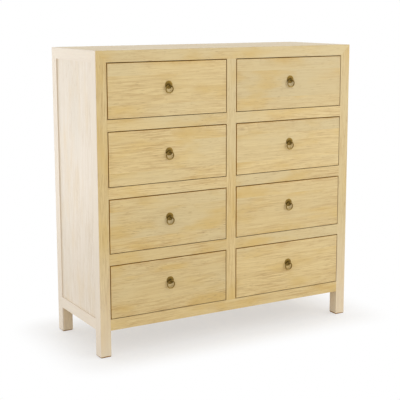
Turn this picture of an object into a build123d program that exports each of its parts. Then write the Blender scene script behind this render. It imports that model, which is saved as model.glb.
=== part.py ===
from build123d import *
from dataclasses import dataclass
from math import hypot
import os

# Floor-standing chest of eight flush drawers in a square post-and-rail frame.
# Millimetres; +X to the right, the front faces -Y, +Z up, the floor at Z 0.

# Overall size of the frame
WIDTH = 1195.0
DEPTH = 435.0
HEIGHT = 1200.0

# Square members of the frame
MEMBER = 45.0
LEG_CLEAR = 107.0
DRAWER_ROWS = 4
EDGE_EASE = 1.5
FOOT_EASE = 3.0

# Joints of the frame
TENON_THICKNESS = 12.0
TENON_SHOULDER = 10.0
TENON_MEET = 1.0
CORNER_COVER = 12.0
GLUE_GAP = 0.1

# Panels that float in grooves
PANEL_THICKNESS = 8.0
PANEL_RECESS = 4.0
PANEL_TONGUE = 8.0
PANEL_FLOAT = 1.0
TOP_PANEL_THICKNESS = 18.0
TOP_PANEL_GAP = 0.8
TOP_TONGUE_THICKNESS = 6.0
TOP_TONGUE_COVER = 6.0

# What carries and stops the drawers
RUNNER_WIDTH = 30.0
GUIDE_RISE = 20.0
STOP_LENGTH = 40.0
STOP_DEPTH = 14.0
STOP_HEIGHT = 6.0
STOP_SPACING = 300.0
STOP_CLEARANCE = 0.2

# Drawers
DRAWER_GAP = 2.5
RUN_CLEARANCE = 0.2
REAR_CLEARANCE = 10.0
FRONT_THICKNESS = 20.0
FRONT_EASE = 1.0
SIDE_THICKNESS = 12.0
SIDE_DROP = 4.0
BACK_THICKNESS = 12.0
BACK_INSET = 8.0
BACK_DROP = 4.0
HOUSING_DEPTH = 4.0
BOTTOM_THICKNESS = 6.0
BOTTOM_RISE = 9.0
BOTTOM_GROOVE = 5.0
TAIL_COUNT = 4
TAIL_WIDTH = 26.0
TAIL_SLOPE = 7.0
TAIL_LAP = 6.0

# Ring pulls
PULL_RISE = 15.0
PLATE_DIAMETER = 32.0
PLATE_EDGE = 1.2
PLATE_HEIGHT = 2.6
PLATE_CROWN = 10.0
RING_DIAMETER = 36.0
RING_WIRE = 4.8
EYE_STRIP = 1.4
EYE_WIDTH = 4.0
EYE_CLEARANCE = 0.5
PIN_CLEARANCE = 0.3
PRONG_LENGTH = 12.0
PRONG_THICKNESS = 1.2

# Worked out from the sizes above
RING_RADIUS = (RING_DIAMETER - RING_WIRE) / 2
EYE_INNER = RING_WIRE / 2 + EYE_CLEARANCE
EYE_OUTER = EYE_INNER + EYE_STRIP
EYE_OUT = PLATE_HEIGHT + PIN_CLEARANCE + EYE_OUTER
PULL_PROJECTION = EYE_OUT + EYE_OUTER
PIN_HOLE_RADIUS = hypot(EYE_WIDTH / 2, EYE_STRIP) + PIN_CLEARANCE

SIDE = WIDTH / 2
FRONT = (PULL_PROJECTION - DEPTH) / 2
BACK = FRONT + DEPTH
INNER_SIDE = SIDE - MEMBER
INNER_FRONT = FRONT + MEMBER
INNER_BACK = BACK - MEMBER
CENTRE = MEMBER / 2
BOTTOM_RAIL_TOP = LEG_CLEAR + MEMBER
TOP_RAIL_UNDER = HEIGHT - MEMBER
PANEL_INNER = PANEL_RECESS + PANEL_THICKNESS
TENON_LENGTH = (MEMBER - TENON_THICKNESS) / 2 - TENON_MEET

OPENING_WIDTH = INNER_SIDE - CENTRE
OPENING_HEIGHT = (TOP_RAIL_UNDER - BOTTOM_RAIL_TOP - (DRAWER_ROWS - 1) * MEMBER) / DRAWER_ROWS
FRONT_BACK = FRONT + FRONT_THICKNESS
DRAWER_REAR = BACK - PANEL_INNER - REAR_CLEARANCE

SIDES = {"left": -1, "right": 1}
ENDS = {"front": -1, "back": 1}


@dataclass(frozen=True)
class Block:
    """A square-edged block, as its limits along X, Y and Z."""

    x: tuple
    y: tuple
    z: tuple

    def grown(self, x=0.0, y=0.0, z=0.0):
        """The block made larger on both sides of each axis."""
        limits = zip((self.x, self.y, self.z), (x, y, z))
        return Block(*[(low - by, high + by) for (low, high), by in limits])

    def meets(self, other):
        """Whether the two blocks share some space."""
        pairs = zip((self.x, self.y, self.z), (other.x, other.y, other.z))
        return all(a[0] < b[1] and b[0] < a[1] for a, b in pairs)


def between(a, b):
    """Two limits in rising order."""
    return (min(a, b), max(a, b))


def about(middle, size):
    """Limits of a size centred on a middle."""
    return (middle - size / 2, middle + size / 2)


def at_side(side):
    """Limits along X of a member at the left (-1) or the right (1)."""
    return between(side * SIDE, side * INNER_SIDE)


def at_end(end):
    """Limits along Y of a member at the front (-1) or the back (1)."""
    return (FRONT, INNER_FRONT) if end < 0 else (INNER_BACK, BACK)


def floor_of(row):
    """Height of a drawer opening's floor, counting rows from the bottom."""
    return BOTTOM_RAIL_TOP + row * (OPENING_HEIGHT + MEMBER)


def tenon(body, axis, end):
    """The stub tenon that stands out of a bar's end along one axis."""
    thick, wide = {"x": ("y", "z"), "y": ("x", "z"), "z": ("y", "x")}[axis]
    low, high = getattr(body, axis)
    wide_low, wide_high = getattr(body, wide)
    limits = {
        axis: (low - TENON_LENGTH, low) if end < 0 else (high, high + TENON_LENGTH),
        thick: about(sum(getattr(body, thick)) / 2, TENON_THICKNESS),
        wide: (wide_low + TENON_SHOULDER, wide_high - TENON_SHOULDER),
    }
    return Block(**limits)


def fill(block, mode=Mode.ADD):
    """Add a block to the open part, or cut its space out of it."""
    limits = (block.x, block.y, block.z)
    with Locations(tuple((low + high) / 2 for low, high in limits)):
        Box(*[high - low for low, high in limits], mode=mode)


def save(piece, name):
    """Label a finished piece and write it."""
    piece.label = name
    export_step(piece, f"parts/{name}.step")


# Bars of the frame: each has a body and its own tenons
POSTS = {
    (side, end): Block(at_side(side), at_end(end), (0.0, HEIGHT))
    for side in SIDES.values() for end in ENDS.values()
}
CORNER_TENONS = {
    (side, end): Block(
        about(sum(at_side(side)) / 2, TENON_THICKNESS),
        about(sum(at_end(end)) / 2, TENON_THICKNESS),
        (TOP_RAIL_UNDER, HEIGHT - CORNER_COVER),
    )
    for side, end in POSTS
}
TOP_RAILS = {"x": {}, "y": {}}
for end in ENDS.values():
    TOP_RAILS["x"][end] = Block((-SIDE, SIDE), at_end(end), (TOP_RAIL_UNDER, HEIGHT))
for side in SIDES.values():
    TOP_RAILS["y"][side] = Block(at_side(side), (FRONT, BACK), (TOP_RAIL_UNDER, HEIGHT))

BARS = {}
for name, end in ENDS.items():
    rail = Block((-INNER_SIDE, INNER_SIDE), at_end(end), (LEG_CLEAR, BOTTOM_RAIL_TOP))
    BARS[f"bottom_{name}_rail"] = (rail, [tenon(rail, "x", -1), tenon(rail, "x", 1)])
    stile = Block((-CENTRE, CENTRE), at_end(end), (BOTTOM_RAIL_TOP, TOP_RAIL_UNDER))
    BARS[f"{name}_centre_stile"] = (stile, [tenon(stile, "z", -1), tenon(stile, "z", 1)])
for name, side in SIDES.items():
    rail = Block(at_side(side), (INNER_FRONT, INNER_BACK), (LEG_CLEAR, BOTTOM_RAIL_TOP))
    BARS[f"bottom_{name}_rail"] = (rail, [tenon(rail, "y", -1), tenon(rail, "y", 1)])
    for row in range(1, DRAWER_ROWS):
        level = (floor_of(row) - MEMBER, floor_of(row))
        rail = Block(between(side * INNER_SIDE, side * CENTRE), at_end(-1), level)
        tenons = [tenon(rail, "x", -1), tenon(rail, "x", 1)]
        BARS[f"drawer_rail_{name}_{DRAWER_ROWS - row}"] = (rail, tenons)

# Guides beside the drawers and runners under them, each with its own tenons
GUIDES = []
RUNNERS = []
for row in range(DRAWER_ROWS):
    floor = floor_of(row)
    depth = (INNER_FRONT, INNER_BACK)
    level = (floor - MEMBER, floor)
    guide_top = floor + GUIDE_RISE
    foot = Block((-CENTRE, CENTRE), depth, level)
    tenons = [tenon(foot, "y", -1), tenon(foot, "y", 1)]
    GUIDES.append((Block(foot.x, depth, (level[0], guide_top)), tenons))
    for side in SIDES.values():
        width = between(side * (SIDE - PANEL_INNER - PANEL_FLOAT), side * INNER_SIDE)
        foot = Block(width, depth, level)
        if row > 0:
            tenons = [tenon(foot, "y", -1), tenon(foot, "y", 1)]
            GUIDES.append((Block(width, depth, (level[0], guide_top)), tenons))
        else:
            GUIDES.append((Block(width, depth, (floor, guide_top)), []))
        for edge, inward in ((INNER_SIDE, -1), (CENTRE, 1)):
            width = between(side * edge, side * (edge + inward * RUNNER_WIDTH))
            runner = Block(width, depth, level)
            tenons = [tenon(runner, "y", -1)]
            if row == 0:
                tenons.append(tenon(runner, "y", 1))
            RUNNERS.append((runner, tenons))

# Panels, and the tongue of the top panel
PANEL_RISE = (BOTTOM_RAIL_TOP - PANEL_TONGUE, TOP_RAIL_UNDER + PANEL_TONGUE)
SIDE_PANELS = {
    side: Block(
        between(side * (SIDE - PANEL_RECESS), side * (SIDE - PANEL_INNER)),
        (INNER_FRONT - PANEL_TONGUE, INNER_BACK + PANEL_TONGUE),
        PANEL_RISE,
    )
    for side in SIDES.values()
}
BACK_PANELS = [
    Block(
        between(side * (CENTRE - PANEL_TONGUE), side * (INNER_SIDE + PANEL_TONGUE)),
        (BACK - PANEL_INNER, BACK - PANEL_RECESS),
        PANEL_RISE,
    )
    for side in SIDES.values()
]
TOP_PANEL = Block(
    (TOP_PANEL_GAP - INNER_SIDE, INNER_SIDE - TOP_PANEL_GAP),
    (INNER_FRONT + TOP_PANEL_GAP, INNER_BACK - TOP_PANEL_GAP),
    (HEIGHT - TOP_PANEL_THICKNESS, HEIGHT),
)
TOP_TONGUE = Block(
    (-INNER_SIDE - PANEL_TONGUE, INNER_SIDE + PANEL_TONGUE),
    (INNER_FRONT - PANEL_TONGUE, INNER_BACK + PANEL_TONGUE),
    (HEIGHT - TOP_TONGUE_COVER - TOP_TONGUE_THICKNESS, HEIGHT - TOP_TONGUE_COVER),
)

# Every mortise and groove: the tenons with room for glue, the panels with room to move
JOINED = list(BARS.values()) + GUIDES + RUNNERS + [(None, list(CORNER_TENONS.values()))]
MORTISES = [(peg, peg.grown(GLUE_GAP, GLUE_GAP, GLUE_GAP)) for _, pegs in JOINED for peg in pegs]
GROOVES = [panel.grown(GLUE_GAP, PANEL_FLOAT, PANEL_FLOAT) for panel in SIDE_PANELS.values()]
GROOVES += [panel.grown(PANEL_FLOAT, GLUE_GAP, PANEL_FLOAT) for panel in BACK_PANELS]
GROOVES.append(TOP_TONGUE.grown(PANEL_FLOAT, PANEL_FLOAT, GLUE_GAP))


def cut_joints(body, own_tenons):
    """Cut the open part by each mortise and groove that reaches into its body."""
    mortises = [space for peg, space in MORTISES if peg not in own_tenons and peg.meets(body)]
    for space in mortises + [groove for groove in GROOVES if groove.meets(body)]:
        fill(space, mode=Mode.SUBTRACT)


def corner_of(side, end):
    """The outer top corner of the frame at one side and one end."""
    return (side * SIDE, FRONT if end < 0 else BACK, HEIGHT)


def ease_edge(part, axis, corner):
    """Round the long edge that runs into an outer corner of the frame."""
    edge = part.edges().filter_by(axis).sort_by_distance(corner)[0]
    fillet(edge, radius=EDGE_EASE)


def mitre(corner, *directions):
    """Cut the open part at a corner by a slanting plane for each direction given."""
    for direction in directions:
        split(bisect_by=Plane(origin=corner, z_dir=direction), keep=Keep.BOTTOM)


def make_post(name, side, end):
    """A corner post: mitred at the top, a tenon in the mitre, eased at the foot."""
    body = POSTS[side, end]
    corner = corner_of(side, end)
    with BuildPart() as post:
        fill(body)
        chamfer(post.faces().sort_by(Axis.Z)[0].edges(), length=FOOT_EASE)
        ease_edge(post, Axis.Z, corner)
        mitre(corner, (-side, 0, 1), (0, -end, 1))
        fill(CORNER_TENONS[side, end])
        cut_joints(body, [CORNER_TENONS[side, end]])
    save(post.part, name)


def make_long_top_rail(name, end):
    """The front or back top rail, mitred to the posts and the side rails at both ends."""
    body = TOP_RAILS["x"][end]
    with BuildPart() as rail:
        fill(body)
        ease_edge(rail, Axis.X, corner_of(-1, end))
        for side in SIDES.values():
            mitre(corner_of(side, end), (side, 0, -1), (side, -end, 0))
        cut_joints(body, [])
    save(rail.part, name)


def make_short_top_rail(name, side):
    """The left or right top rail, mitred to the posts and the long rails at both ends."""
    body = TOP_RAILS["y"][side]
    with BuildPart() as rail:
        fill(body)
        ease_edge(rail, Axis.Y, corner_of(side, -1))
        for end in ENDS.values():
            mitre(corner_of(side, end), (0, end, -1), (-side, end, 0))
        cut_joints(body, [])
    save(rail.part, name)


def make_bar(body, tenons):
    """A square bar with its tenons, cut for what is joined into it."""
    with BuildPart() as bar:
        fill(body)
        for peg in tenons:
            fill(peg)
        cut_joints(body, tenons)
    return bar.part


def make_block(block):
    """A plain square-edged piece."""
    with BuildPart() as piece:
        fill(block)
    return piece.part


def save_group(pieces, name):
    """Write separate pieces of one kind together."""
    solids = [solid for piece in pieces for solid in piece.solids()]
    save(Compound(children=solids), name)


def make_frame():
    """The posts, the rails, the stiles and the rails between the drawers."""
    for end_name, end in ENDS.items():
        for side_name, side in SIDES.items():
            make_post(f"{end_name}_{side_name}_post", side, end)
        make_long_top_rail(f"top_{end_name}_rail", end)
    for side_name, side in SIDES.items():
        make_short_top_rail(f"top_{side_name}_rail", side)
    for name, (body, tenons) in BARS.items():
        save(make_bar(body, tenons), name)


def make_panels():
    """The top, side and back panels."""
    with BuildPart() as top_panel:
        fill(TOP_PANEL)
        fill(TOP_TONGUE)
    save(top_panel.part, "top_panel")
    for name, side in SIDES.items():
        save(make_block(SIDE_PANELS[side]), f"{name}_side_panel")
    save_group([make_block(panel) for panel in BACK_PANELS], "back_panels")


def make_carriage():
    """The guides, runners, kickers and stops inside the frame."""
    save_group([make_bar(body, tenons) for body, tenons in GUIDES], "drawer_guides")
    save_group([make_bar(body, tenons) for body, tenons in RUNNERS], "drawer_runners")
    kicker_rise = (TOP_RAIL_UNDER, HEIGHT - TOP_PANEL_THICKNESS)
    kicker_widths = [(-CENTRE - RUNNER_WIDTH, CENTRE + RUNNER_WIDTH)]
    for side in SIDES.values():
        kicker_widths.append(between(side * INNER_SIDE, side * (INNER_SIDE - RUNNER_WIDTH)))
    kickers = [Block(width, (INNER_FRONT, INNER_BACK), kicker_rise) for width in kicker_widths]
    save_group([make_block(kicker) for kicker in kickers], "top_kickers")
    stops = []
    for drawer in DRAWERS:
        for hand in (-1, 1):
            place = drawer.middle + hand * STOP_SPACING / 2
            start = FRONT_BACK + STOP_CLEARANCE
            rise = (drawer.floor, drawer.floor + STOP_HEIGHT)
            stops.append(Block(about(place, STOP_LENGTH), (start, start + STOP_DEPTH), rise))
    save_group([make_block(stop) for stop in stops], "drawer_stops")


@dataclass(frozen=True)
class Drawer:
    """Where one drawer and its pull stand."""

    name: str
    middle: float
    floor: float

    @property
    def half(self):
        """Half the width of the drawer."""
        return OPENING_WIDTH / 2 - DRAWER_GAP

    @property
    def pin_height(self):
        """Height of the pull's pin."""
        return self.floor + OPENING_HEIGHT / 2 + PULL_RISE

    @property
    def front(self):
        """The drawer front before its joints are cut."""
        rise = (self.floor + DRAWER_GAP, self.floor + OPENING_HEIGHT - DRAWER_GAP)
        return Block(about(self.middle, 2 * self.half), (FRONT, FRONT_BACK), rise)

    def side(self, hand):
        """The left (-1) or right (1) side board, without its dovetails."""
        outer = self.middle + hand * self.half
        rise = (self.floor + RUN_CLEARANCE, self.front.z[1] - SIDE_DROP)
        return Block(between(outer, outer - hand * SIDE_THICKNESS), (FRONT_BACK, DRAWER_REAR), rise)

    @property
    def inner(self):
        """Half the width between the side boards."""
        return self.half - SIDE_THICKNESS

    @property
    def bottom(self):
        """The bottom board, which runs in grooves and under the back board."""
        low = self.side(1).z[0] + BOTTOM_RISE
        return Block(
            about(self.middle, 2 * (self.inner + BOTTOM_GROOVE)),
            (FRONT_BACK - BOTTOM_GROOVE, DRAWER_REAR - BACK_INSET),
            (low, low + BOTTOM_THICKNESS),
        )

    @property
    def bottom_groove(self):
        """The groove for the bottom board, open at the rear."""
        groove = self.bottom.grown(GLUE_GAP, GLUE_GAP, GLUE_GAP)
        return Block(groove.x, (groove.y[0], DRAWER_REAR), groove.z)

    @property
    def back(self):
        """The back board, housed in the sides above the bottom board."""
        rear = DRAWER_REAR - BACK_INSET
        return Block(
            about(self.middle, 2 * (self.inner + HOUSING_DEPTH)),
            (rear - BACK_THICKNESS, rear),
            (self.bottom.z[1] + GLUE_GAP, self.side(1).z[1] - BACK_DROP),
        )

    @property
    def tail_heights(self):
        """Heights of the middles of the dovetails."""
        low = self.front.z[0]
        pitch = (self.side(1).z[1] - low) / TAIL_COUNT
        return [low + pitch * (step + 0.5) for step in range(TAIL_COUNT)]


DRAWERS = [
    Drawer(f"drawer_{name}_{DRAWER_ROWS - row}", side * (CENTRE + OPENING_WIDTH / 2), floor_of(row))
    for name, side in SIDES.items() for row in reversed(range(DRAWER_ROWS))
]


def tail_outline(drawer, hand):
    """The dovetails of one side board, drawn on its lower-X face."""
    length = FRONT_THICKNESS - TAIL_LAP
    tip = TAIL_WIDTH / 2
    root = tip - length / TAIL_SLOPE
    with BuildSketch(Plane.YZ.offset(drawer.side(hand).x[0])) as tails:
        for height in drawer.tail_heights:
            with BuildLine():
                Polyline(
                    (FRONT_BACK, height - root),
                    (FRONT_BACK, height + root),
                    (FRONT_BACK - length, height + tip),
                    (FRONT_BACK - length, height - tip),
                    close=True,
                )
            make_face()
    return tails.sketch


def make_drawer_front(drawer):
    """A drawer front: eased outer edges, dovetail sockets, a groove and the pin's hole."""
    sockets = [tail_outline(drawer, hand) for hand in (-1, 1)]
    pin = Location((drawer.middle, FRONT, drawer.pin_height), (90, 0, 0))
    with BuildPart() as front:
        fill(drawer.front)
        fillet(front.faces().sort_by(Axis.Y)[0].edges(), radius=FRONT_EASE)
        for socket in sockets:
            extrude(socket, amount=SIDE_THICKNESS, mode=Mode.SUBTRACT)
        fill(drawer.bottom_groove, mode=Mode.SUBTRACT)
        with Locations(pin):
            Hole(radius=PIN_HOLE_RADIUS)
    save(front.part, f"{drawer.name}_front")


def make_drawer_side(drawer, hand):
    """A drawer side: dovetails in front, a groove for the bottom, a housing for the back."""
    tails = tail_outline(drawer, hand)
    with BuildPart() as side:
        fill(drawer.side(hand))
        extrude(tails, amount=SIDE_THICKNESS)
        fill(drawer.bottom_groove, mode=Mode.SUBTRACT)
        fill(drawer.back.grown(GLUE_GAP, GLUE_GAP, GLUE_GAP), mode=Mode.SUBTRACT)
    return side.part


def make_drawer_box(drawer):
    """The two sides, the back and the bottom of a drawer."""
    sides = [make_drawer_side(drawer, hand) for hand in (-1, 1)]
    boards = [make_block(drawer.back), make_block(drawer.bottom)]
    save_group(sides + boards, f"{drawer.name}_box")


def make_pull(drawer):
    """A pull's domed backplate, and the split pin whose eye holds the ring."""
    centre = (drawer.middle, FRONT, drawer.pin_height)
    with BuildPart() as plate:
        with BuildSketch(Plane(origin=centre, x_dir=(1, 0, 0), z_dir=(0, 0, -1))):
            with BuildLine():
                Polyline(
                    (PLATE_CROWN / 2, PLATE_HEIGHT),
                    (PIN_HOLE_RADIUS, PLATE_HEIGHT),
                    (PIN_HOLE_RADIUS, 0),
                    (PLATE_DIAMETER / 2, 0),
                    (PLATE_DIAMETER / 2, PLATE_EDGE),
                )
                TangentArc(
                    (PLATE_CROWN / 2, PLATE_HEIGHT), (PLATE_DIAMETER / 2, PLATE_EDGE), tangent=(1, 0)
                )
            make_face()
        revolve(axis=Axis(centre, (0, 1, 0)))
    width = about(drawer.middle, EYE_WIDTH)
    shank = (FRONT - EYE_OUT + EYE_INNER, FRONT_BACK + PRONG_THICKNESS)
    prongs = (FRONT_BACK, FRONT_BACK + PRONG_THICKNESS)
    with BuildPart() as pin:
        with BuildSketch(Plane.YZ.offset(width[0])):
            with Locations((FRONT - EYE_OUT, drawer.pin_height)):
                Circle(EYE_OUTER)
                Circle(EYE_INNER, mode=Mode.SUBTRACT)
        extrude(amount=EYE_WIDTH)
        fill(Block(width, shank, about(drawer.pin_height, 2 * EYE_STRIP)))
        fill(Block(width, prongs, about(drawer.pin_height, 2 * PRONG_LENGTH)))
    save_group([plate.part, pin.part], f"{drawer.name}_pull")


def make_ring(drawer):
    """A pull's ring, hanging in the eye of its pin."""
    middle = (drawer.middle, FRONT - EYE_OUT, drawer.pin_height - RING_RADIUS)
    with BuildPart() as ring:
        with Locations(Location(middle, (90, 0, 0))):
            Torus(RING_RADIUS, RING_WIRE / 2)
    save(ring.part, f"{drawer.name}_ring")


def main():
    """Build and write every piece."""
    os.makedirs("parts", exist_ok=True)
    make_frame()
    make_panels()
    make_carriage()
    for drawer in DRAWERS:
        make_drawer_front(drawer)
        make_drawer_box(drawer)
        make_pull(drawer)
        make_ring(drawer)


main()
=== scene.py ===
"""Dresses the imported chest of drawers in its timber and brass, and sets up the studio view."""

import logging
import math
import random
from dataclasses import dataclass, replace
from enum import Enum
from typing import ClassVar

import bmesh
import bpy
from mathutils import Euler, Matrix, Vector


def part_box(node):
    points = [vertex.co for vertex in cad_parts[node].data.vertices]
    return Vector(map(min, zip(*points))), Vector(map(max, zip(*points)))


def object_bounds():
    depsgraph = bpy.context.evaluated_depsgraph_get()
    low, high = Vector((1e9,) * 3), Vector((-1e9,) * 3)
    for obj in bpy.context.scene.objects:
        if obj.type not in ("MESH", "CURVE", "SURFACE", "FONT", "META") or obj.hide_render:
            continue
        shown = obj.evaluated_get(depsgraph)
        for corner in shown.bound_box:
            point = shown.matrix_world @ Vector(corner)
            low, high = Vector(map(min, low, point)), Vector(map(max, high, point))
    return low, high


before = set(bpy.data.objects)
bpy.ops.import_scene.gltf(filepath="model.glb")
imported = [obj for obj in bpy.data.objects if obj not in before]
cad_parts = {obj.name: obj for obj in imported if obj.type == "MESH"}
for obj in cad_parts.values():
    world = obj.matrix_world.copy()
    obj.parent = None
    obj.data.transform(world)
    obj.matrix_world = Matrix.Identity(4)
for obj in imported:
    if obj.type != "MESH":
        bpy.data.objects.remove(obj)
CAD_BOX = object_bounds()

MM = 0.001
log = logging.getLogger("chest")

Tree = bpy.types.NodeTree
Socket = bpy.types.NodeSocket
Value = float | tuple[float, ...] | Socket


def linear(code: str) -> tuple[float, float, float, float]:
    """Turn an sRGB hex colour into linear RGBA.

    Args:
        code: Six hex digits with a leading hash.

    Returns:
        The linear colour with full alpha.
    """
    shares = [int(code[i:i + 2], 16) / 255 for i in (1, 3, 5)]
    red, green, blue = (s / 12.92 if s <= 0.04045 else ((s + 0.055) / 1.055) ** 2.4 for s in shares)
    return red, green, blue, 1.0


def add(tree: Tree, kind: str, sockets: dict[str | int, Value], **settings: str) -> bpy.types.Node:
    """Add a node, set its options, and set or link its inputs.

    Args:
        tree: The tree that gets the node.
        kind: The node's type.
        sockets: Input names or numbers, each with a value or the output to link.
        **settings: Options of the node itself.

    Returns:
        The new node.
    """
    node = tree.nodes.new(kind)
    for name, option in settings.items():
        setattr(node, name, option)
    for name, value in sockets.items():
        if isinstance(value, Socket):
            tree.links.new(value, node.inputs[name])
        else:
            node.inputs[name].default_value = value
    return node


class Grain(Enum):
    """How a board lies: the frame axes along its grain, across its face and through it."""

    ALONG_X_UPRIGHT = (0, 2, 1)
    ALONG_X_FLAT = (0, 1, 2)
    ALONG_Y_UPRIGHT = (1, 2, 0)
    UPRIGHT_FACING_SIDE = (2, 1, 0)
    UPRIGHT_FACING_FRONT = (2, 0, 1)

    @property
    def turn(self) -> Matrix:
        """The rotation that lays the grain along X and the face across Y."""
        rows = [[float(axis == column) for column in range(3)] for axis in self.value]
        matrix = Matrix(rows)
        if matrix.determinant() < 0:
            matrix[2] = -matrix[2]
        return matrix


class Side(Enum):
    """A side of a piece: its axis in the frame, and the low or high end of it."""

    LEFT = (0, 0)
    RIGHT = (0, 1)


class Edge(Enum):
    """How a pattern comes in: at an even rate, or with a soft start and end."""

    EVEN = "LINEAR"
    SOFT = "SMOOTHSTEP"


class Rub(Enum):
    """Where hands rub a piece bright."""

    RIM = "rim"
    FOOT = "foot"


class Column(Enum):
    """The two columns of drawers."""

    LEFT = "left"
    RIGHT = "right"


@dataclass(frozen=True)
class Board:
    """One timber node and the way its boards lie.

    Attributes:
        node: The CAD node.
        grain: How its boards lie.
        stave_mm: The width of each board that is glued edge to edge to make it up.
        ends: How the boards at its two ends in X lie, where they differ.
        end_mm: The thickness of those end boards.
        rim_mm: How far the dirt and painted shade of the gaps reach in from two opposite edges of its
            face, added up.
        lining: The sides that line a drawer opening, painted with the dirt and painted shade of the gaps.
        foot_mm: How far up the dirt and painted contact shadow of the floor reach.
        lit_side: The outer side, painted paler as painted light.
        lit_side_mm: How far in from that side the painted light reaches.
        foot_light_mm: How far up from the floor it is painted paler, as painted light.
        figure: How strongly its grain shows, against the timber's own.
    """

    node: str
    grain: Grain
    stave_mm: float
    ends: Grain | None = None
    end_mm: float = 0.0
    rim_mm: float = 0.0
    lining: tuple[Side, ...] = ()
    foot_mm: float = 0.0
    lit_side: Side | None = None
    lit_side_mm: float = 0.0
    foot_light_mm: float = 0.0
    figure: float = 1.0


@dataclass(frozen=True)
class Marks:
    """Marks in the timber, drawn out along its grain.

    Attributes:
        length_mm: Size of a mark along the grain.
        width_mm: Its size across the grain.
        span: The strengths of the pattern where a mark starts to show and where it shows most.
        detail: Number of finer sizes mixed in.
        roughness: How strongly the finer sizes show.
    """

    length_mm: float
    width_mm: float
    span: tuple[float, float] = (0.0, 1.0)
    detail: float = 2.0
    roughness: float = 0.5

    @property
    def steps(self) -> tuple[float, float, float]:
        """How many marks go into a metre along the grain, across the face and through."""
        across = 1 / (self.width_mm * MM)
        return 1 / (self.length_mm * MM), across, across

    def draw(self, tree: Tree, point: Socket) -> bpy.types.Node:
        """Draw the pattern that the marks come from.

        Args:
            tree: The material's tree.
            point: The place in the log.

        Returns:
            The noise.
        """
        sockets = {0: point, 1: self.steps}
        run = add(tree, "ShaderNodeVectorMath", sockets, operation="MULTIPLY").outputs[0]
        sockets = {"Vector": run, "Scale": 1.0, "Detail": self.detail, "Roughness": self.roughness}
        return add(tree, "ShaderNodeTexNoise", sockets)


@dataclass(frozen=True)
class Layer:
    """A colour that lies over the others where a pattern is strong.

    Attributes:
        colour: The colour.
        depth: How far it covers what is under it where it shows most.
        span: The strengths of the pattern where it starts to show and where it shows most.
        edge: How it comes in between them.
    """

    colour: str
    depth: float = 1.0
    span: tuple[float, float] = (0.0, 1.0)
    edge: Edge = Edge.EVEN

    def over(self, tree: Tree, under: Value, pattern: Socket, share: Socket | None) -> Socket:
        """Lay the colour over what is under it.

        Args:
            tree: The material's tree.
            under: What is under it.
            pattern: The pattern.
            share: How much of its depth it takes from place to place, if not all.

        Returns:
            The colour that comes of both.
        """
        low, high = self.span
        cover = add(
            tree, "ShaderNodeMapRange", {0: pattern, 1: low, 2: high, 4: self.depth},
            interpolation_type=self.edge.value,
        ).outputs[0]
        if share is not None:
            cover = add(tree, "ShaderNodeMath", {0: cover, 1: share}, operation="MULTIPLY").outputs[0]
        sockets = {0: cover, 6: under, 7: linear(self.colour)}
        return add(tree, "ShaderNodeMix", sockets, data_type="RGBA").outputs[2]


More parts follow.
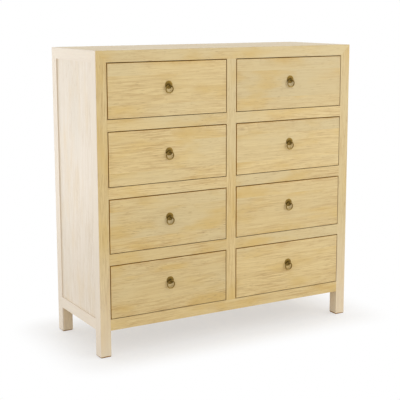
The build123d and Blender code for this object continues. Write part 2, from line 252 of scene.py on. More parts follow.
@dataclass(frozen=True)
class Timber:
    """A timber finish with growth rings, fibres, open pores and knots.

    Attributes:
        name: What the timber is.
        light: Colour of the early wood.
        dark: Colour of the late wood.
        warm: Colour of the warmer patches.
        dull: Colour of the broad greyer areas.
        pore: Colour of the open pores.
        knot: Colour of a knot's core.
        roughness: Least and greatest roughness.
        shine: Gloss of the bare timber under the coat.
        coat: Weight of the sealing coat.
        coat_roughness: Roughness of the sealing coat.
        ring_mm: Spacing of the growth rings.
        ring_depth: How far the late wood reaches its full colour.
        streak_depth: The same for the fibre streaks.
        patch_depth: The same for the warm patches.
        dull_depth: The same for the greyer areas.
        pore_depth: The same for the pores.
        knot_depth: The same for the knots.
        tone_spread: Greatest change of tone from board to board.
    """

    name: str
    light: str
    dark: str
    warm: str
    dull: str
    pore: str
    knot: str
    roughness: tuple[float, float]
    shine: float = 0.2
    coat: float = 0.8
    coat_roughness: float = 0.38
    ring_mm: float = 9.0
    ring_depth: float = 0.32
    streak_depth: float = 0.70
    patch_depth: float = 0.75
    dull_depth: float = 0.6
    pore_depth: float = 0.42
    knot_depth: float = 0.45
    tone_spread: float = 0.05

    # Fibres and pores are under a millimetre wide. They are drawn coarser, as bundles, so that they show
    STREAKS: ClassVar[Marks] = Marks(100.0, 3.4, (0.42, 0.68), detail=5.0, roughness=0.55)
    PORES: ClassVar[Marks] = Marks(32.0, 2.6, (0.58, 0.72), detail=2.5)
    PATCHES: ClassVar[Marks] = Marks(220.0, 80.0, (0.46, 0.76), detail=3.0)
    AREAS: ClassVar[Marks] = Marks(520.0, 220.0, (0.41, 0.70))

    # Streaks and pores show by the first share in the plain places, and by the second in the lively ones
    FIGURE: ClassVar[Marks] = Marks(240.0, 110.0, (0.35, 0.65))
    FIGURE_SHARES: ClassVar[tuple[float, float]] = (0.45, 1.6)

    # A log is never straight, so its rings bend along it. Each stave is sawn at its own place in it
    BEND: ClassVar[Marks] = Marks(900.0, 200.0)
    BEND_DEPTH_MM: ClassVar[float] = 40.0
    HEART_DRIFT_MM: ClassVar[float] = 50.0
    HEART_AWAY_MM: ClassVar[float] = 45.0
    LOG_M: ClassVar[float] = 9.0
    STAVE_NUMBERS: ClassVar[tuple[int, int]] = (10, 4000)

    # At a scale of one, the rings are this many metres apart. The power keeps the late wood narrow
    WAVE_PERIOD: ClassVar[float] = math.pi / 10
    LATE_POWER: ClassVar[float] = 2.5

    # Few of the places for a knot have one, and the rings swerve round it
    KNOTS: ClassVar[Marks] = Marks(300.0, 130.0, (0.09, 0.03))
    KNOT_SHARE: ClassVar[float] = 0.3
    SWERVE_SPAN: ClassVar[tuple[float, float]] = (0.34, 0.0)
    SWERVE_RADIANS: ClassVar[float] = 9.0

    # The fibres stand a little proud of the pores, and differ a little in their gloss
    FIBRE_SPAN: ClassVar[tuple[float, float]] = (0.3, 0.7)
    RELIEF_STRENGTH: ClassVar[float] = 0.35
    RELIEF_MM: ClassVar[float] = 0.4

    # Old dirt and polish in the gaps, with painted shade: brown, most of it on a drawer's left and top
    # edges, which show in shade
    GRIME_AND_SHADE: ClassVar[str] = "#96660C"
    GRIME_SHADE_MM: ClassVar[float] = 70.0
    LEAN: ClassVar[tuple[tuple[float, float], ...]] = ((0.6, 1.0), (0.0, 0.2))
    WANDER_SPAN: ClassVar[tuple[float, float]] = (0.3, 0.7)
    WANDER_MM: ClassVar[float] = 0.3
    SMUDGE_SPAN: ClassVar[tuple[float, float]] = (0.45, 0.7)
    SMUDGE_MM: ClassVar[float] = 32.0
    SMUDGE_DEPTH: ClassVar[float] = 0.14
    WALL_SKIN_MM: ClassVar[float] = 0.3
    WALL_DEPTH_MM: ClassVar[float] = 14.0

    # Painted light: the outer sides are painted paler for the bright light on them, and the posts paler
    # towards the floor
    SIDE_LIGHT: ClassVar[str] = "#ECE1D4"
    SIDE_LIGHT_DEPTH: ClassVar[float] = 0.72
    FOOT_LIGHT_DEPTH: ClassVar[float] = 0.5

    def material(self, board: Board) -> bpy.types.Material:
        """Make the finish for one node.

        Args:
            board: The node and the way its boards lie.

        Returns:
            The material.
        """
        made = bpy.data.materials.new(f"{self.name}_{board.node}")
        made.use_nodes = True
        tree = made.node_tree
        shader = tree.nodes["Principled BSDF"]
        shader.inputs["Specular IOR Level"].default_value = self.shine
        shader.inputs["Coat Weight"].default_value = self.coat
        shader.inputs["Coat Roughness"].default_value = self.coat_roughness
        chance = random.Random(board.node)
        point, tint = self.staves(tree, self.local(tree, board), board, chance)
        tone = 1 + chance.uniform(-1, 1) * self.tone_spread
        drift = self.bent(tree, point)
        knot = self.knots(tree, point)
        lively = self.liveliness(tree, point, board.figure)
        fibres, pores = (marks.draw(tree, drift).outputs["Fac"] for marks in (self.STREAKS, self.PORES))
        areas, patches = (marks.draw(tree, point).outputs["Fac"] for marks in (self.AREAS, self.PATCHES))
        layers = [
            (Layer(self.dark, self.ring_depth), self.late_wood(tree, drift, knot), None),
            (Layer(self.dark, self.streak_depth, self.STREAKS.span, Edge.SOFT), fibres, lively),
            (Layer(self.dull, self.dull_depth, self.AREAS.span, Edge.SOFT), areas, None),
            (Layer(self.warm, self.patch_depth, self.PATCHES.span, Edge.SOFT), patches, None),
            (Layer(self.pore, self.pore_depth, self.PORES.span, Edge.SOFT), pores, lively),
            (Layer(self.knot, self.knot_depth, self.KNOTS.span, Edge.SOFT), knot, None),
        ]
        # Painted light: the outer sides, the walls of the side recesses and the lower posts are painted
        # paler for the bright light on them
        painted_light = self.painted_light(tree, board)
        if painted_light is not None:
            layers.append((Layer(self.SIDE_LIGHT), painted_light, None))
        # Painted shade with dirt: the gap edges of a face, the walls of the openings and the feet are
        # painted dark brown
        dirt_and_shade = self.dirt_and_shade(tree, board)
        if dirt_and_shade is not None:
            layers.append((Layer(self.GRIME_AND_SHADE), dirt_and_shade, None))
        colour: Value = tuple(min(1.0, share * tone) for share in linear(self.light)[:3]) + (1.0,)
        for layer, pattern, share in layers:
            colour = layer.over(tree, colour, pattern, share)
        colour = add(tree, "ShaderNodeHueSaturation", {"Color": colour, "Value": tint}).outputs[0]
        tree.links.new(colour, shader.inputs["Base Color"])

        low, high = self.FIBRE_SPAN
        least, most = self.roughness
        sockets = {0: fibres, 1: low, 2: high, 3: least, 4: most}
        rough = add(tree, "ShaderNodeMapRange", sockets).outputs[0]
        if dirt_and_shade is not None:
            coat_share = add(tree, "ShaderNodeMapRange", {0: dirt_and_shade, 3: self.coat, 4: 0.0}).outputs[0]
            tree.links.new(coat_share, shader.inputs["Coat Weight"])
            rough = add(tree, "ShaderNodeMath", {0: rough, 1: dirt_and_shade}, operation="MAXIMUM").outputs[0]
        tree.links.new(rough, shader.inputs["Roughness"])
        height = add(tree, "ShaderNodeMath", {0: fibres, 1: pores}, operation="SUBTRACT").outputs[0]
        sockets = {"Height": height, "Strength": self.RELIEF_STRENGTH, "Distance": self.RELIEF_MM * MM}
        tree.links.new(add(tree, "ShaderNodeBump", sockets).outputs[0], shader.inputs["Normal"])
        return made

    def local(self, tree: Tree, board: Board) -> Socket:
        """Lay a node's coordinates along its grain.

        Args:
            tree: The material's tree.
            board: The node and the way its boards lie.

        Returns:
            Metres from the node's middle: along the grain, across the face, and through.
        """
        low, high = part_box(board.node)
        middle = (low + high) / 2
        place = add(tree, "ShaderNodeTexCoord", {}).outputs["Object"]
        laid = []
        for grain in filter(None, (board.grain, board.ends)):
            shift, turn = tuple(-(grain.turn @ middle)), tuple(grain.turn.to_euler())
            sockets = {"Vector": place, "Location": shift, "Rotation": turn}
            laid.append(add(tree, "ShaderNodeMapping", sockets).outputs[0])
        if board.ends is None:
            return laid[0]
        run = add(tree, "ShaderNodeSeparateXYZ", {0: place}).outputs[0]
        off = add(tree, "ShaderNodeMath", {0: run, 1: middle.x}, operation="SUBTRACT").outputs[0]
        away = add(tree, "ShaderNodeMath", {0: off}, operation="ABSOLUTE").outputs[0]
        limit = (high.x - low.x) / 2 - board.end_mm * MM
        at_end = add(tree, "ShaderNodeMath", {0: away, 1: limit}, operation="GREATER_THAN").outputs[0]
        sockets = {0: at_end, 4: laid[0], 5: laid[1]}
        return add(tree, "ShaderNodeMix", sockets, data_type="VECTOR").outputs[1]

    def staves(
        self, tree: Tree, local: Socket, board: Board, chance: random.Random
    ) -> tuple[Socket, Socket]:
        """Split a face into glued staves, each cut from its own place in a log.

        Args:
            tree: The material's tree.
            local: The node's coordinates along its grain.
            board: The node and the way its boards lie.
            chance: The node's own source of chance.

        Returns:
            The coordinates in the log, with the heart along X, and each stave's tone.
        """
        width = board.stave_mm * MM
        parts = add(tree, "ShaderNodeSeparateXYZ", {0: local})
        # The half puts the middle of the node in the middle of a stave
        sockets = {0: parts.outputs[1], 1: 1 / width, 2: chance.randint(*self.STAVE_NUMBERS) + 0.5}
        count = add(tree, "ShaderNodeMath", sockets, operation="MULTIPLY_ADD").outputs[0]
        number = add(tree, "ShaderNodeMath", {0: count}, operation="FLOOR").outputs[0]
        share = add(tree, "ShaderNodeMath", {0: count}, operation="FRACT").outputs[0]
        sockets = {0: share, 1: width, 2: -width / 2}
        across = add(tree, "ShaderNodeMath", sockets, operation="MULTIPLY_ADD").outputs[0]
        sockets = {0: parts.outputs[0], 1: across, 2: parts.outputs[2]}
        joined = add(tree, "ShaderNodeCombineXYZ", sockets).outputs[0]
        dice = add(tree, "ShaderNodeTexWhiteNoise", {"W": number}, noise_dimensions="1D")
        drift = self.HEART_DRIFT_MM * MM
        sockets = {0: dice.outputs["Color"], 1: (self.LOG_M, drift, drift), 2: joined}
        moved = add(tree, "ShaderNodeVectorMath", sockets, operation="MULTIPLY_ADD").outputs[0]
        heart = (0.0, -drift / 2, self.HEART_AWAY_MM * MM)
        point = add(tree, "ShaderNodeVectorMath", {0: moved, 1: heart}, operation="ADD").outputs[0]
        least, most = 1 - self.tone_spread / 2, 1 + self.tone_spread / 2
        tint = add(tree, "ShaderNodeMapRange", {0: dice.outputs["Value"], 3: least, 4: most}).outputs[0]
        return point, tint

    def bent(self, tree: Tree, point: Socket) -> Socket:
        """Bend the log a little along its length.

        Args:
            tree: The material's tree.
            point: The place in the straight log.

        Returns:
            The place in the bent log.
        """
        sway = self.BEND.draw(tree, point).outputs["Color"]
        depth = self.BEND_DEPTH_MM * MM
        sockets = {0: sway, 1: (0, depth, depth), 2: point}
        return add(tree, "ShaderNodeVectorMath", sockets, operation="MULTIPLY_ADD").outputs[0]

    def knots(self, tree: Tree, point: Socket) -> Socket:
        """Scatter knots in the log.

        Args:
            tree: The material's tree.
            point: The place in the log.

        Returns:
            The distance from the nearest knot, one step more where the place for a knot is empty.
        """
        sockets = {0: point, 1: self.KNOTS.steps}
        run = add(tree, "ShaderNodeVectorMath", sockets, operation="MULTIPLY").outputs[0]
        cell = add(tree, "ShaderNodeTexVoronoi", {"Vector": run, "Scale": 1.0})
        draw = add(tree, "ShaderNodeSeparateXYZ", {0: cell.outputs["Color"]}).outputs[0]
        sockets = {0: draw, 1: self.KNOT_SHARE}
        empty = add(tree, "ShaderNodeMath", sockets, operation="GREATER_THAN").outputs[0]
        sockets = {0: cell.outputs["Distance"], 1: empty}
        return add(tree, "ShaderNodeMath", sockets, operation="ADD").outputs[0]

    def late_wood(self, tree: Tree, drift: Socket, knot: Socket) -> Socket:
        """Draw the growth rings, pale in spring and dark by autumn.

        Args:
            tree: The material's tree.
            drift: The place in the bent log.
            knot: The distance from the nearest knot.

        Returns:
            How dark the ring is.
        """
        low, high = self.SWERVE_SPAN
        swerve = add(
            tree, "ShaderNodeMapRange", {0: knot, 1: low, 2: high, 4: self.SWERVE_RADIANS},
            interpolation_type=Edge.SOFT.value,
        ).outputs[0]
        scale = self.WAVE_PERIOD / (self.ring_mm * MM)
        sockets = {"Vector": drift, "Scale": scale, "Phase Offset": swerve}
        rings = add(
            tree, "ShaderNodeTexWave", sockets,
            wave_type="RINGS", rings_direction="X", wave_profile="SAW",
        ).outputs["Fac"]
        return add(tree, "ShaderNodeMath", {0: rings, 1: self.LATE_POWER}, operation="POWER").outputs[0]

    def liveliness(self, tree: Tree, point: Socket, strength: float) -> Socket:
        """Let the grain show more in some places than in others.

        Args:
            tree: The material's tree.
            point: The place in the log.
            strength: How strongly the board's grain shows.

        Returns:
            The share of the streaks and pores that shows.
        """
        figure = self.FIGURE.draw(tree, point).outputs["Fac"]
        low, high = self.FIGURE.span
        least, most = (strength * share for share in self.FIGURE_SHARES)
        sockets = {0: figure, 1: low, 2: high, 3: least, 4: most}
        return add(tree, "ShaderNodeMapRange", sockets).outputs[0]

    def dirt_and_shade(self, tree: Tree, board: Board) -> Socket | None:
        """Find where the dirt and painted shade go: round a face, on the walls of the openings, and at
        the foot.

        Args:
            tree: The material's tree.
            board: The node and the way its boards lie.

        Returns:
            A mask of those places, or none on a board without them.
        """
        if not (board.rim_mm or board.lining or board.foot_mm):
            return None
        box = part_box(board.node)
        place = add(tree, "ShaderNodeTexCoord", {}).outputs["Object"]
        parts = add(tree, "ShaderNodeSeparateXYZ", {0: place}).outputs
        sockets = {"Vector": place, "Scale": 1 / (self.GRIME_SHADE_MM * MM)}
        spread = add(tree, "ShaderNodeTexNoise", sockets).outputs["Fac"]
        depth = self.WALL_DEPTH_MM * MM
        sockets = {0: parts[1], 1: box[0].y, 2: box[0].y + depth, 3: 1.0, 4: 0.0}
        front = add(tree, "ShaderNodeMapRange", sockets).outputs[0]
        masks = []
        if board.rim_mm:
            line, smudge = self.rim(tree, board, parts, spread)
            line = add(tree, "ShaderNodeMath", {0: line, 1: front}, operation="MULTIPLY").outputs[0]
            masks += [line, smudge]
        for side in board.lining:
            axis, end = side.value
            sockets = {0: parts[axis], 1: box[end][axis], 2: self.WALL_SKIN_MM * MM}
            wall = add(tree, "ShaderNodeMath", sockets, operation="COMPARE").outputs[0]
            # Below the lowest opening the dirt and painted shade reach as far down as they do inward
            sockets = {0: parts[2], 1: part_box("bottom_front_rail")[1].z - depth}
            above = add(tree, "ShaderNodeMath", sockets, operation="GREATER_THAN").outputs[0]
            for limit in (above, front):
                wall = add(tree, "ShaderNodeMath", {0: wall, 1: limit}, operation="MULTIPLY").outputs[0]
            masks.append(wall)
        # Painted shade with dirt: a dark band at the foot for the contact shadow on the floor
        if board.foot_mm:
            # The spread is a half on the whole, so twice the height gives the height
            sockets = {0: spread, 1: 2 * board.foot_mm * MM}
            limit = add(tree, "ShaderNodeMath", sockets, operation="MULTIPLY").outputs[0]
            sockets = {0: parts[2], 1: limit}
            masks.append(add(tree, "ShaderNodeMath", sockets, operation="LESS_THAN").outputs[0])
        return self.union(tree, masks)

    def rim(
        self, tree: Tree, board: Board, parts: bpy.types.NodeOutputs, spread: Socket
    ) -> tuple[Socket, Socket]:
        """Find the line of dirt and painted shade along the edges of a face, and the smudges of dirt
        inside it.

        Args:
            tree: The material's tree.
            board: The node and the way its boards lie.
            parts: The place on each axis of the frame.
            spread: How much dirt and painted shade there is from place to place.

        Returns:
            A mask of the line and one of the smudges.
        """
        low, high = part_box(board.node)
        chance = random.Random(f"{board.node}_rim")
        inward: Value = max(high - low)
        # Painted shade: the line is shared unevenly between opposite edges, most of it on the left and
        # the top
        for axis, leans in zip(board.grain.value, self.LEAN):
            lean = chance.uniform(*leans)
            for sign, side, share in ((1.0, low[axis], lean), (-1.0, high[axis], 1 - lean)):
                sockets = {0: parts[axis], 1: sign, 2: -sign * side - board.rim_mm * MM * share}
                inside = add(tree, "ShaderNodeMath", sockets, operation="MULTIPLY_ADD").outputs[0]
                sockets = {0: inside, 1: inward}
                inward = add(tree, "ShaderNodeMath", sockets, operation="MINIMUM").outputs[0]
        least, most = self.WANDER_SPAN
        wander = self.WANDER_MM * MM
        sockets = {0: spread, 1: least, 2: most, 3: -wander, 4: wander}
        limit = add(tree, "ShaderNodeMapRange", sockets).outputs[0]
        line = add(tree, "ShaderNodeMath", {0: inward, 1: limit}, operation="LESS_THAN").outputs[0]
        sockets = {0: inward, 1: 0.0, 2: self.SMUDGE_MM * MM, 3: self.SMUDGE_DEPTH, 4: 0.0}
        near = add(tree, "ShaderNodeMapRange", sockets, interpolation_type=Edge.SOFT.value).outputs[0]
        least, most = self.SMUDGE_SPAN
        rubbed = add(tree, "ShaderNodeMapRange", {0: spread, 1: least, 2: most}).outputs[0]
        smudge = add(tree, "ShaderNodeMath", {0: near, 1: rubbed}, operation="MULTIPLY").outputs[0]
        return line, smudge

    def painted_light(self, tree: Tree, board: Board) -> Socket | None:
        """Find where a board is painted paler as painted light: on its outer side, and up from the floor.

        Args:
            tree: The material's tree.
            board: The node and the way its boards lie.

        Returns:
            How much paler each place is painted, or none on a board without painted light.
        """
        if board.lit_side is None:
            return None
        axis, end = board.lit_side.value
        place = add(tree, "ShaderNodeTexCoord", {}).outputs["Object"]
        parts = add(tree, "ShaderNodeSeparateXYZ", {0: place}).outputs
        sockets = {0: parts[axis], 1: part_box(board.node)[end][axis], 2: board.lit_side_mm * MM}
        side = add(tree, "ShaderNodeMath", sockets, operation="COMPARE").outputs[0]
        sockets = {0: side, 1: self.SIDE_LIGHT_DEPTH}
        masks = [add(tree, "ShaderNodeMath", sockets, operation="MULTIPLY").outputs[0]]
        # Painted light: paler towards the floor
        if board.foot_light_mm:
            sockets = {0: parts[2], 1: 0.0, 2: board.foot_light_mm * MM, 3: self.FOOT_LIGHT_DEPTH, 4: 0.0}
            masks.append(add(tree, "ShaderNodeMapRange", sockets).outputs[0])
        return self.union(tree, masks)

    @staticmethod
    def union(tree: Tree, masks: list[Socket]) -> Socket:
        """Join masks into one.

        Args:
            tree: The material's tree.
            masks: The masks to join.

        Returns:
            The greatest of them at each place.
        """
        whole = masks[0]
        for mask in masks[1:]:
            whole = add(tree, "ShaderNodeMath", {0: whole, 1: mask}, operation="MAXIMUM").outputs[0]
        return whole


@dataclass(frozen=True)
class Brass:
    """Cast brass gone brown with age, and rubbed bright where it is touched.

    Attributes:
        name: What the metal is.
        patina: Colour of the aged skin.
        rubbed: Colour of the rubbed metal.
        roughness: Least and greatest roughness.
        rub: Where it is rubbed.
    """

    name: str
    patina: str
    rubbed: str
    roughness: tuple[float, float]
    rub: Rub

    # The skin of a sand casting is finely pitted, and it wears through in spots
    SPOT_MM: ClassVar[float] = 2.5
    SPOT_DETAIL: ClassVar[float] = 5.0
    SPOT_ROUGHNESS: ClassVar[float] = 0.65
    WEAR_SPAN: ClassVar[tuple[float, float]] = (0.7, 1.7)
    PIT_STRENGTH: ClassVar[float] = 0.5
    PIT_MM: ClassVar[float] = 0.12

    def material(self, node: str) -> bpy.types.Material:
        """Make the finish for one node.

        Args:
            node: The CAD node.

        Returns:
            The material.
        """
        made = bpy.data.materials.new(f"{self.name}_{node}")
        made.use_nodes = True
        tree = made.node_tree
        shader = tree.nodes["Principled BSDF"]
        shader.inputs["Metallic"].default_value = 1.0
        low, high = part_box(node)
        reach = (high.x - low.x) / 2
        place = add(tree, "ShaderNodeTexCoord", {}).outputs["Object"]
        sockets = {0: place, 1: tuple((low + high) / 2)}
        off = add(tree, "ShaderNodeVectorMath", sockets, operation="SUBTRACT").outputs[0]
        if self.rub is Rub.RIM:
            sockets = {0: off, 1: (1 / reach, 0, 1 / reach)}
            flat = add(tree, "ShaderNodeVectorMath", sockets, operation="MULTIPLY").outputs[0]
            outward = add(tree, "ShaderNodeVectorMath", {0: flat}, operation="LENGTH").outputs["Value"]
        else:
            sockets = {0: off, 1: (0, 0, -1 / reach)}
            outward = add(tree, "ShaderNodeVectorMath", sockets, operation="DOT_PRODUCT").outputs["Value"]
        sockets = {
            "Vector": place, "Scale": 1 / (self.SPOT_MM * MM),
            "Detail": self.SPOT_DETAIL, "Roughness": self.SPOT_ROUGHNESS,
        }
        spots = add(tree, "ShaderNodeTexNoise", sockets).outputs["Fac"]
        touched = add(tree, "ShaderNodeMath", {0: outward, 1: spots}, operation="ADD").outputs[0]
        start, end = self.WEAR_SPAN
        sockets = {0: touched, 1: start, 2: end}
        worn = add(tree, "ShaderNodeMapRange", sockets, interpolation_type=Edge.SOFT.value).outputs[0]
        sockets = {0: worn, 6: linear(self.patina), 7: linear(self.rubbed)}
        colour = add(tree, "ShaderNodeMix", sockets, data_type="RGBA").outputs[2]
        tree.links.new(colour, shader.inputs["Base Color"])
        least, most = self.roughness
        rough = add(tree, "ShaderNodeMapRange", {0: worn, 3: most, 4: least}).outputs[0]
        tree.links.new(rough, shader.inputs["Roughness"])
        sockets = {"Height": spots, "Strength": self.PIT_STRENGTH, "Distance": self.PIT_MM * MM}
        tree.links.new(add(tree, "ShaderNodeBump", sockets).outputs[0], shader.inputs["Normal"])
        return made


# Elm, bleached, brushed and sealed matt: straw coloured, with fine lines along the grain and small knots
ELM = Timber(
    name="bleached_elm",
    light="#DDC48A",
    dark="#C1A066",
    warm="#D2AF60",
    dull="#D4C191",
    pore="#A27F4A",
    knot="#7E5A2E",
    roughness=(0.42, 0.58),
)

# The same elm on the side panels, painted paler for the bright light on them, with its grain fainter
SIDE_LIT_ELM = Timber(
    name="elm_painted_side_light",
    light="#E7DAC8",
    dark="#D6C3A5",
    warm="#E0CBA7",
    dull="#DED2BE",
    pore="#C3A987",
    knot="#A98A5E",
    roughness=(0.40, 0.55),
)

# Planed softwood left unsealed inside the case and the drawers: pale, dry and plain
INNER_PINE = Timber(
    name="planed_pine",
    light="#E3CFA6",
    dark="#CBAA73",
    warm="#D9B87F",
    dull="#D8C7A0",
    pore="#BD9C68",
    knot="#8F6838",
    roughness=(0.62, 0.75),
    ring_mm=6.0,
    pore_depth=0.2,
)

# Cast brass with a brown skin, worn to a dull gold round the plate's rim and where fingers pull the ring
PLATE_BRASS = Brass(
    name="aged_brass_plate",
    patina="#6B5527",
    rubbed="#836A33",
    roughness=(0.34, 0.55),
    rub=Rub.RIM,
)
RING_BRASS = Brass(
    name="aged_brass_ring",
    patina="#806834",
    rubbed="#A78C50",
    roughness=(0.30, 0.48),
    rub=Rub.FOOT,
)


def dress(node: str, material: bpy.types.Material) -> None:
    """Give a CAD node its finish.

    Args:
        node: The CAD node.
        material: The finish.
    """
    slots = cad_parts[node].data.materials
    slots.clear()
    slots.append(material)
    log.info("%s takes %s", node, material.name)


@dataclass(frozen=True)
class Carcass:
    """The frame, panels and drawer carriage that stand still.

    Attributes:
        member_mm: Width of a glued board in the frame, more than a member's, so that each is one board.
        stave_mm: Width of a glued board in the panels.
        foot_mm: How far up a foot the dirt and painted contact shadow of the floor reach.
        foot_light_mm: How far up from the floor the posts are painted paler, as painted light.
        edge_mm: How deep the painted light on the outer sides of the front posts reaches.
        recess_mm: The same for the members whose inner edges show round the side panels, so that it also
            lightens the shade on the walls of the recess.
    """

    member_mm: float = 60.0
    stave_mm: float = 118.0
    foot_mm: float = 4.5
    foot_light_mm: float = 450.0
    edge_mm: float = 1.0
    recess_mm: float = 5.0

    # The walls of the openings, painted with the dirt and painted shade of the gaps
    LININGS: ClassVar[dict[str, tuple[Side, ...]]] = {
        "front_left_post": (Side.RIGHT,),
        "front_centre_stile": (Side.LEFT, Side.RIGHT),
    }

    def dress(self) -> None:
        """Give each piece its timber, with the grain along it."""
        posts = [f"{end}_{side}_post" for end in ("front", "back") for side in ("left", "right")]
        stiles = ["front_centre_stile", "back_centre_stile"]
        rails = [f"{level}_{end}_rail" for level in ("top", "bottom") for end in ("front", "back")]
        rails += [f"drawer_rail_{column.value}_{row}" for column in Column for row in (1, 2, 3)]
        returns = [f"{level}_{side}_rail" for level in ("top", "bottom") for side in ("left", "right")]
        for names, grain in (
            (posts + stiles, Grain.UPRIGHT_FACING_FRONT),
            (rails, Grain.ALONG_X_UPRIGHT),
            (returns, Grain.ALONG_Y_UPRIGHT),
        ):
            for name in names:
                board = Board(name, grain, self.member_mm, lining=self.LININGS.get(name, ()))
                if name in posts:
                    board = replace(board, foot_mm=self.foot_mm, foot_light_mm=self.foot_light_mm)
                if name in posts + returns:
                    side = Side.RIGHT if "right" in name else Side.LEFT
                    depth = self.edge_mm if name.startswith("front") else self.recess_mm
                    board = replace(board, lit_side=side, lit_side_mm=depth)
                dress(name, ELM.material(board))
        for timber, board in (
            (ELM, Board("top_panel", Grain.ALONG_X_FLAT, self.stave_mm)),
            (ELM, Board("back_panels", Grain.UPRIGHT_FACING_FRONT, self.stave_mm)),
            # Painted light: the side panels take the paler copy of the elm
            (SIDE_LIT_ELM, Board("left_side_panel", Grain.UPRIGHT_FACING_SIDE, self.stave_mm)),
            (SIDE_LIT_ELM, Board("right_side_panel", Grain.UPRIGHT_FACING_SIDE, self.stave_mm)),
            (INNER_PINE, Board("drawer_guides", Grain.ALONG_Y_UPRIGHT, self.member_mm)),
            (INNER_PINE, Board("drawer_runners", Grain.ALONG_Y_UPRIGHT, self.member_mm)),
            (INNER_PINE, Board("top_kickers", Grain.ALONG_Y_UPRIGHT, self.member_mm)),
            (INNER_PINE, Board("drawer_stops", Grain.ALONG_X_FLAT, self.member_mm)),
        ):
            dress(board.node, timber.material(board))


@dataclass(frozen=True)
class Drawer:
    """One drawer with its ring pull.

    Attributes:
        column: The column that it is in.
        row: Its row, from 1 at the top.
        stave_mm: Width of a glued board in its front.
        side_mm: Thickness of its sides, and half a millimetre so that their inner faces count.
        rim_mm: How far the dirt and painted shade of the gaps reach onto its face from two opposite
            edges, added up.
        figure_top: How strongly the grain would show above the first row.
    """

    column: Column
    row: int
    stave_mm: float = 112.0
    side_mm: float = 12.5
    rim_mm: float = 2.0
    figure_top: float = 0.75

    # The lower drawers were cut from livelier boards, the left ones most of all
    FIGURE_STEP: ClassVar[dict[Column, float]] = {Column.LEFT: 0.18, Column.RIGHT: 0.06}

    @property
    def name(self) -> str:
        """The drawer's name in the frame."""
        return f"drawer_{self.column.value}_{self.row}"

    def dress(self) -> None:
        """Give the drawer its timber and its pull its brass."""
        front = Board(
            f"{self.name}_front", Grain.ALONG_X_UPRIGHT, self.stave_mm,
            rim_mm=self.rim_mm, figure=self.figure_top + self.FIGURE_STEP[self.column] * self.row,
        )
        case = Board(
            f"{self.name}_box", Grain.ALONG_X_UPRIGHT, 2 * self.stave_mm,
            ends=Grain.ALONG_Y_UPRIGHT, end_mm=self.side_mm,
        )
        dress(front.node, ELM.material(front))
        dress(case.node, INNER_PINE.material(case))
        for piece, brass in (("pull", PLATE_BRASS), ("ring", RING_BRASS)):
            node = f"{self.name}_{piece}"
            dress(node, brass.material(node))


@dataclass(frozen=True)
class Lamp:
    """A square soft box.

    Attributes:
        name: What it does.
        place: Where it stands, in metres.
        aim: The point that it faces.
        width: Its width in metres.
        watts: Its power.
    """

    name: str
    place: tuple[float, float, float]
    aim: tuple[float, float, float]
    width: float
    watts: float

    def build(self) -> None:
        """Hang the soft box, unseen by the camera."""
        light = bpy.data.lights.new(self.name, "AREA")
        light.shape = "SQUARE"
        light.size = self.width
        light.energy = self.watts
        box = bpy.data.objects.new(self.name, light)
        box.location = self.place
        box.rotation_euler = (Vector(self.aim) - Vector(self.place)).to_track_quat("-Z", "Y").to_euler()
        box.visible_camera = False
        bpy.context.scene.collection.objects.link(box)


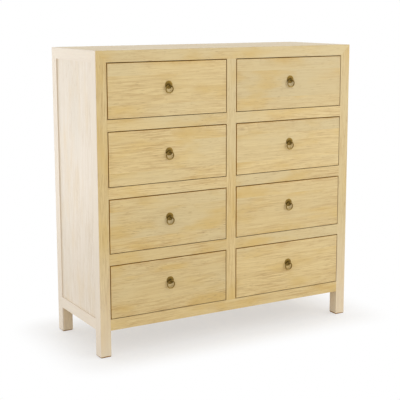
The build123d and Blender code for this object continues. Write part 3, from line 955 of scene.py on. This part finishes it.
@dataclass(frozen=True)
class Studio:
    """The pale floor, the soft light and the camera.

    Attributes:
        floor_m: Half the width of the floor.
        floor_drop_mm: How far the floor lies under the feet.
        paper: Colour of the floor.
        ambient: Strength of the light from all round.
        glow: Share of plain white in what the camera sees of the floor by the chest.
        fade_m: Distance from the chest over which the floor goes over to plain white.
        lens_mm: Focal length on the sensor.
        sensor_mm: Width of the sensor.
        shift: Vertical shift of the view.
        place: Where the camera stands, in metres.
        yaw: Turn of the view to the right, in degrees.
        pitch: Tilt of the view downwards, in degrees.
        roll: Turn about the line of sight, in degrees.
    """

    floor_m: float = 30.0
    floor_drop_mm: float = 0.2
    paper: str = "#F8F7F6"
    ambient: float = 0.70
    glow: float = 0.52
    fade_m: float = 0.22
    lens_mm: float = 90.0
    sensor_mm: float = 36.0
    shift: float = -0.05
    place: tuple[float, float, float] = (-2.1275, -3.6572, 1.354)
    yaw: float = 29.88
    pitch: float = 9.73
    roll: float = -0.13

    LAMPS: ClassVar[tuple[Lamp, ...]] = (
        Lamp("key_box", (3.0, -3.4, 1.9), (0.4, 0.0, 0.5), 3.6, 53.0),
        Lamp("left_box", (-3.2, -1.6, 0.5), (-0.5, 0.0, 0.1), 2.0, 17.0),
        Lamp("side_box", (-1.5, 1.95, 0.8), (-0.6, 0.0, 0.4), 1.9, 10.0),
        Lamp("fill_box", (4.0, 0.2, 1.8), (0.6, 0.0, 0.6), 3.2, 34.0),
    )

    def build(self) -> None:
        """Set up the floor, the lamps, the world and the camera."""
        self.build_floor()
        for lamp in self.LAMPS:
            lamp.build()
        self.build_world()
        self.build_camera()
        bpy.context.scene.view_settings.view_transform = "Standard"

    def build_floor(self) -> None:
        """Lay the floor, which the camera sees as white with the chest's shadow on it."""
        mesh = bpy.data.meshes.new("floor")
        shape = bmesh.new()
        bmesh.ops.create_grid(shape, x_segments=1, y_segments=1, size=self.floor_m)
        bmesh.ops.translate(shape, verts=shape.verts, vec=(0, 0, -self.floor_drop_mm * MM))
        shape.to_mesh(mesh)
        shape.free()
        floor = bpy.data.objects.new("floor", mesh)
        bpy.context.scene.collection.objects.link(floor)
        # Matt white paper: no gloss, a soft shadow by the chest, and plain white further out
        made = bpy.data.materials.new("white_paper")
        made.use_nodes = True
        tree = made.node_tree
        tree.nodes.clear()
        place = add(tree, "ShaderNodeTexCoord", {}).outputs["Object"]
        half = (CAD_BOX[1] - CAD_BOX[0]) / 2
        out = add(tree, "ShaderNodeVectorMath", {0: place}, operation="ABSOLUTE").outputs[0]
        sockets = {0: out, 1: (half.x, half.y, 0)}
        out = add(tree, "ShaderNodeVectorMath", sockets, operation="SUBTRACT").outputs[0]
        out = add(tree, "ShaderNodeVectorMath", {0: out, 1: (0, 0, 0)}, operation="MAXIMUM").outputs[0]
        away = add(tree, "ShaderNodeVectorMath", {0: out}, operation="LENGTH").outputs["Value"]
        sockets = {0: away, 1: 0.0, 2: self.fade_m, 3: self.glow, 4: 1.0}
        share = add(tree, "ShaderNodeMapRange", sockets, interpolation_type=Edge.SOFT.value).outputs[0]
        sockets = {0: share, 1: self.in_sight(tree)}
        share = add(tree, "ShaderNodeMath", sockets, operation="MULTIPLY").outputs[0]
        paper = add(tree, "ShaderNodeBsdfDiffuse", {"Color": linear(self.paper)}).outputs[0]
        white = add(tree, "ShaderNodeEmission", {"Strength": 1.0}).outputs[0]
        mixed = add(tree, "ShaderNodeMixShader", {0: share, 1: paper, 2: white}).outputs[0]
        add(tree, "ShaderNodeOutputMaterial", {"Surface": mixed})
        mesh.materials.append(made)

    def build_world(self) -> None:
        """Light the scene from all round, and show plain white to the camera and in reflections."""
        world = bpy.data.worlds.new("studio")
        bpy.context.scene.world = world
        world.use_nodes = True
        tree = world.node_tree
        tree.nodes.clear()
        colour = linear("#FFFFFF")
        soft, white = (
            add(tree, "ShaderNodeBackground", {"Color": colour, "Strength": strength}).outputs[0]
            for strength in (self.ambient, 1.0)
        )
        mixed = add(tree, "ShaderNodeMixShader", {0: self.in_sight(tree), 1: soft, 2: white}).outputs[0]
        add(tree, "ShaderNodeOutputWorld", {"Surface": mixed})

    @staticmethod
    def in_sight(tree: Tree) -> Socket:
        """Find what the camera sees, straight or in a reflection.

        Args:
            tree: The tree that gets the nodes.

        Returns:
            One where it is seen, and nothing where it only lights.
        """
        path = add(tree, "ShaderNodeLightPath", {}).outputs
        seen = path["Is Camera Ray"]
        for ray in ("Is Glossy Ray", "Is Transmission Ray"):
            seen = add(tree, "ShaderNodeMath", {0: seen, 1: path[ray]}, operation="MAXIMUM").outputs[0]
        return seen

    def build_camera(self) -> None:
        """Stand the camera where the photograph was taken."""
        data = bpy.data.cameras.new("camera")
        data.sensor_width = self.sensor_mm
        data.lens = self.lens_mm
        data.shift_y = self.shift
        camera = bpy.data.objects.new("camera", data)
        camera.location = self.place
        level = Euler((math.radians(90 - self.pitch), 0.0, math.radians(-self.yaw))).to_matrix()
        camera.rotation_euler = (level @ Matrix.Rotation(math.radians(self.roll), 3, "Z")).to_euler()
        bpy.context.scene.collection.objects.link(camera)
        bpy.context.scene.camera = camera


def main() -> None:
    """Dress the chest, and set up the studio."""
    logging.basicConfig(level=logging.INFO, format="%(name)s: %(message)s")
    Carcass().dress()
    for column in Column:
        for row in (1, 2, 3, 4):
            Drawer(column, row).dress()
    Studio().build()


if __name__ == "__main__":
    main()
